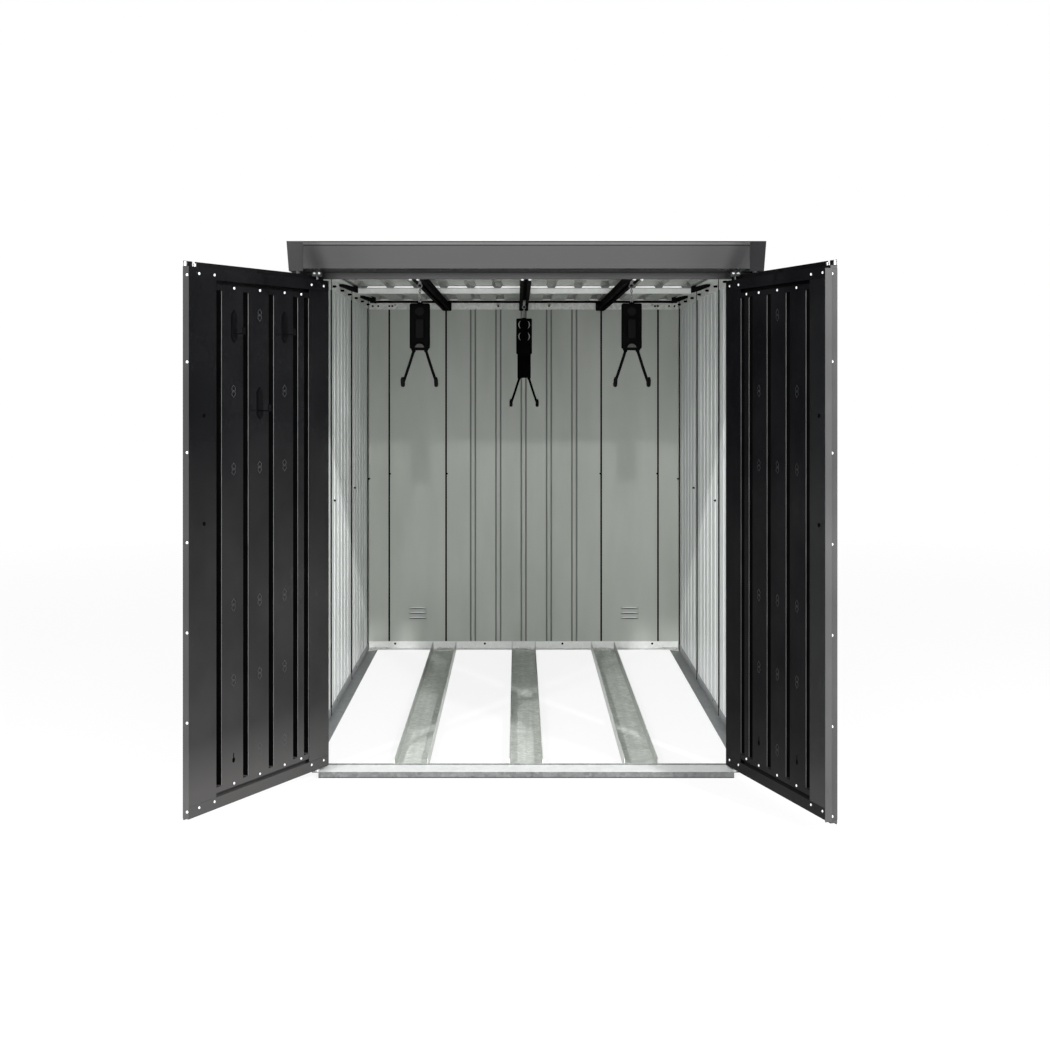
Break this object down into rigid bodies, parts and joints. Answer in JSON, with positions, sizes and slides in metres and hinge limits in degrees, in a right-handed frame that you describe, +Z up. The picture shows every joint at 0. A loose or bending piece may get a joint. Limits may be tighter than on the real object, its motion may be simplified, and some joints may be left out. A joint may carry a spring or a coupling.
{
  "type": "bicycle locker",
  "caption": "Low ribbed sheet-metal bicycle locker with hinged front doors, wheel channels in the floor and bike holders that hang from slotted overhead rails.",
  "frame": {"origin": "on the ground, in the middle of the cabin between its side walls and between the hinge line and the rear wall, on the underside of the centre floor channel", "axes": "+Z up, -Y to the front where the doors are, +X to the right seen from the front"},
  "size_m": [1.5075, 2.6081, 1.388],
  "materials": {
    "galvanised": "mottled galvanised zinc, half matt",
    "anthracite": "half-gloss anthracite coil coat",
    "wall_coat": "light grey-green back coat inside, anthracite coil coat outside",
    "black_paint": "satin black powder coat",
    "zinc": "bright zinc plate",
    "black_plastic": "fine-grained black moulded plastic with rubber tips"
  },
  "bodies": {
    "cabin": {"front_sill": "galvanised", "left_base_rail": "galvanised", "right_base_rail": "galvanised", "rear_base_rail": "galvanised", "left_floor_channel": "galvanised", "centre_floor_channel": "galvanised", "right_floor_channel": "galvanised", "left_front_post": "wall_coat", "right_front_post": "wall_coat", "left_rear_post": "wall_coat", "right_rear_post": "wall_coat", "left_front_wall_sheet": "wall_coat", "right_front_wall_sheet": "wall_coat", "left_middle_wall_sheet": "wall_coat", "right_middle_wall_sheet": "wall_coat", "left_rear_wall_sheet": "wall_coat", "right_rear_wall_sheet": "wall_coat", "left_vent_sheet": "wall_coat", "right_vent_sheet": "wall_coat", "back_wall_sheet": "wall_coat", "header": "anthracite", "left_top_rail": "galvanised", "right_top_rail": "galvanised", "rear_top_rail": "galvanised", "purlin": "galvanised", "front_roof_sheet": "galvanised", "rear_roof_sheet": "galvanised", "front_fascia": "anthracite", "left_side_fascia": "anthracite", "right_side_fascia": "anthracite", "rear_trim": "anthracite", "left_track": "black_paint", "centre_track": "black_paint", "right_track": "black_paint"},
    "left_door": {"left_door_skin": "anthracite", "left_door_top_rail": "anthracite", "left_door_bottom_rail": "anthracite", "left_door_free_stile": "anthracite", "left_door_hinge_stile": "anthracite", "left_door_handle": "black_paint", "tool_hook_1": "black_paint", "tool_hook_2": "black_paint", "tool_hook_3": "black_paint"},
    "right_door": {"right_door_skin": "anthracite", "right_door_top_rail": "anthracite", "right_door_bottom_rail": "anthracite", "right_door_free_stile": "anthracite", "right_door_hinge_stile": "anthracite", "right_door_handle": "black_paint", "closing_strip": "anthracite"},
    "left_runner": {"left_runner": "zinc"},
    "left_holder": {"left_holder": "black_plastic"},
    "left_slider": {"left_slider": "black_plastic"},
    "centre_runner": {"centre_runner": "zinc"},
    "centre_holder": {"centre_holder": "black_plastic"},
    "centre_slider": {"centre_slider": "black_plastic"},
    "right_runner": {"right_runner": "zinc"},
    "right_holder": {"right_holder": "black_plastic"},
    "right_slider": {"right_slider": "black_plastic"}
  },
  "joints": [
    {"name": "left_door_hinge", "type": "hinge", "parent": "cabin", "child": "left_door", "pos_m": [-0.544, -1.015, 0], "axis": [0, 0, 1], "range_deg": [-33.7, 116.3]},
    {"name": "right_door_hinge", "type": "hinge", "parent": "cabin", "child": "right_door", "pos_m": [0.544, -1.015, 0], "axis": [0, 0, 1], "range_deg": [-106.4, 43.6]},
    {"name": "left_runner_slide", "type": "slide", "parent": "cabin", "child": "left_runner", "axis": [0, 1, 0], "range_m": [-0.219, 1.661]},
    {"name": "right_runner_slide", "type": "slide", "parent": "cabin", "child": "right_runner", "axis": [0, 1, 0], "range_m": [-0.219, 1.661]},
    {"name": "centre_runner_slide", "type": "slide", "parent": "cabin", "child": "centre_runner", "axis": [0, 1, 0], "range_m": [-1.446, 0.431]},
    {"name": "left_holder_swing", "type": "hinge", "parent": "left_runner", "child": "left_holder", "pos_m": [-0.296, -0.7, 1.2938], "axis": [0, 1, 0], "range_deg": [-25, 25]},
    {"name": "right_holder_swing", "type": "hinge", "parent": "right_runner", "child": "right_holder", "pos_m": [0.296, -0.7, 1.2938], "axis": [0, 1, 0], "range_deg": [-25, 25]},
    {"name": "centre_holder_swing", "type": "hinge", "parent": "centre_runner", "child": "centre_holder", "pos_m": [0, 0.53, 1.2938], "axis": [0, 1, 0], "range_deg": [-25, 25]},
    {"name": "left_slider_draw", "type": "slide", "parent": "left_holder", "child": "left_slider", "axis": [0, 0, -1], "range_m": [0, 0.081]},
    {"name": "right_slider_draw", "type": "slide", "parent": "right_holder", "child": "right_slider", "axis": [0, 0, -1], "range_m": [0, 0.081]},
    {"name": "centre_slider_draw", "type": "slide", "parent": "centre_holder", "child": "centre_slider", "axis": [0, 0, -1], "range_m": [-0.081, 0]}
  ]
}
